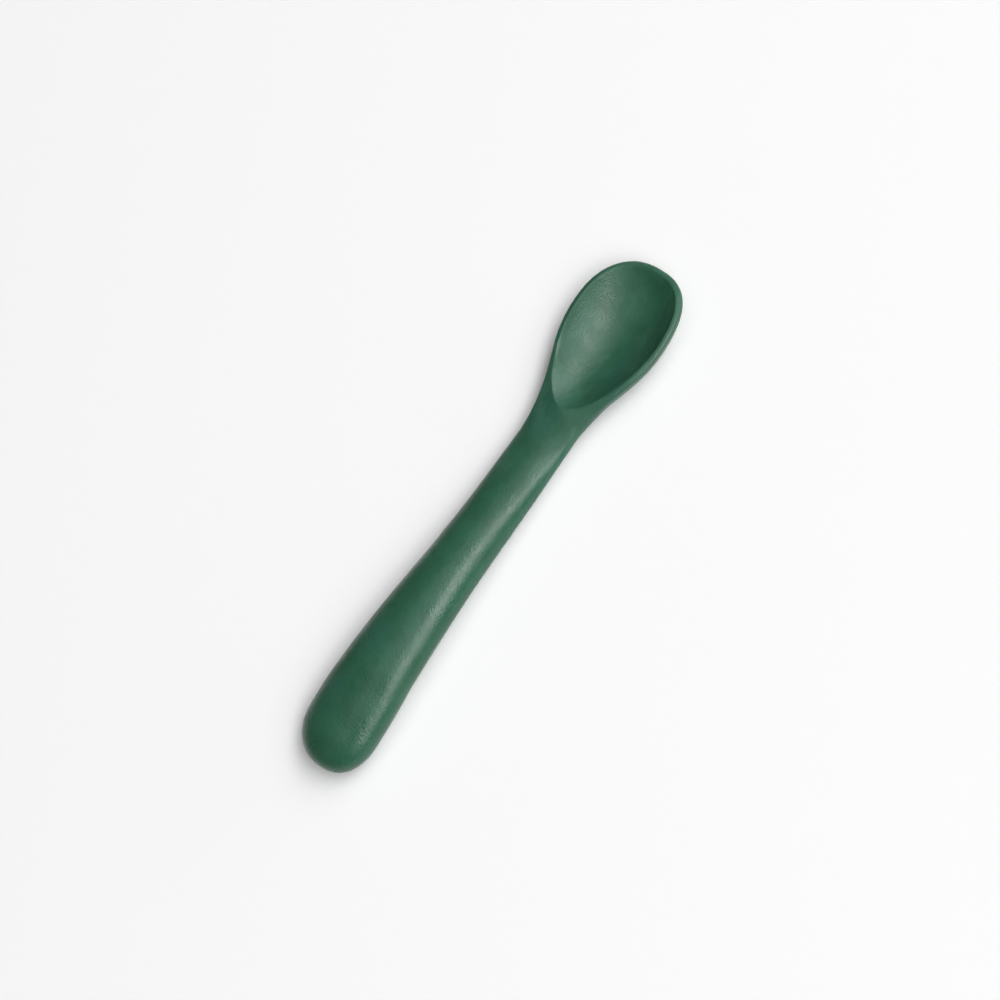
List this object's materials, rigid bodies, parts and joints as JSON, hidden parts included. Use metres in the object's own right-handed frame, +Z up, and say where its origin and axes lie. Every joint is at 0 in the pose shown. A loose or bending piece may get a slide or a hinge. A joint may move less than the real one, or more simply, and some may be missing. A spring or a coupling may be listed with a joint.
{
  "type": "baby spoon",
  "caption": "Soft silicone baby spoon with a chunky arched handle, a slim neck and a rounded bowl, moulded over a stiff nylon blade.",
  "frame": {"origin": "on the table below the middle of the spoon's length, on its centre line", "axes": "+X from the handle's end to the bowl's tip, +Y across the spoon, +Z up out of the bowl"},
  "size_m": [0.14, 0.0266, 0.0134],
  "materials": {
    "silicone": "soft matte silicone, sage to pine green",
    "nylon": "glass-filled nylon, natural colour, as moulded"
  },
  "bodies": {
    "root": {"core": "nylon", "bowl_body": "silicone", "back_cover": "silicone"}
  },
  "joints": []
}
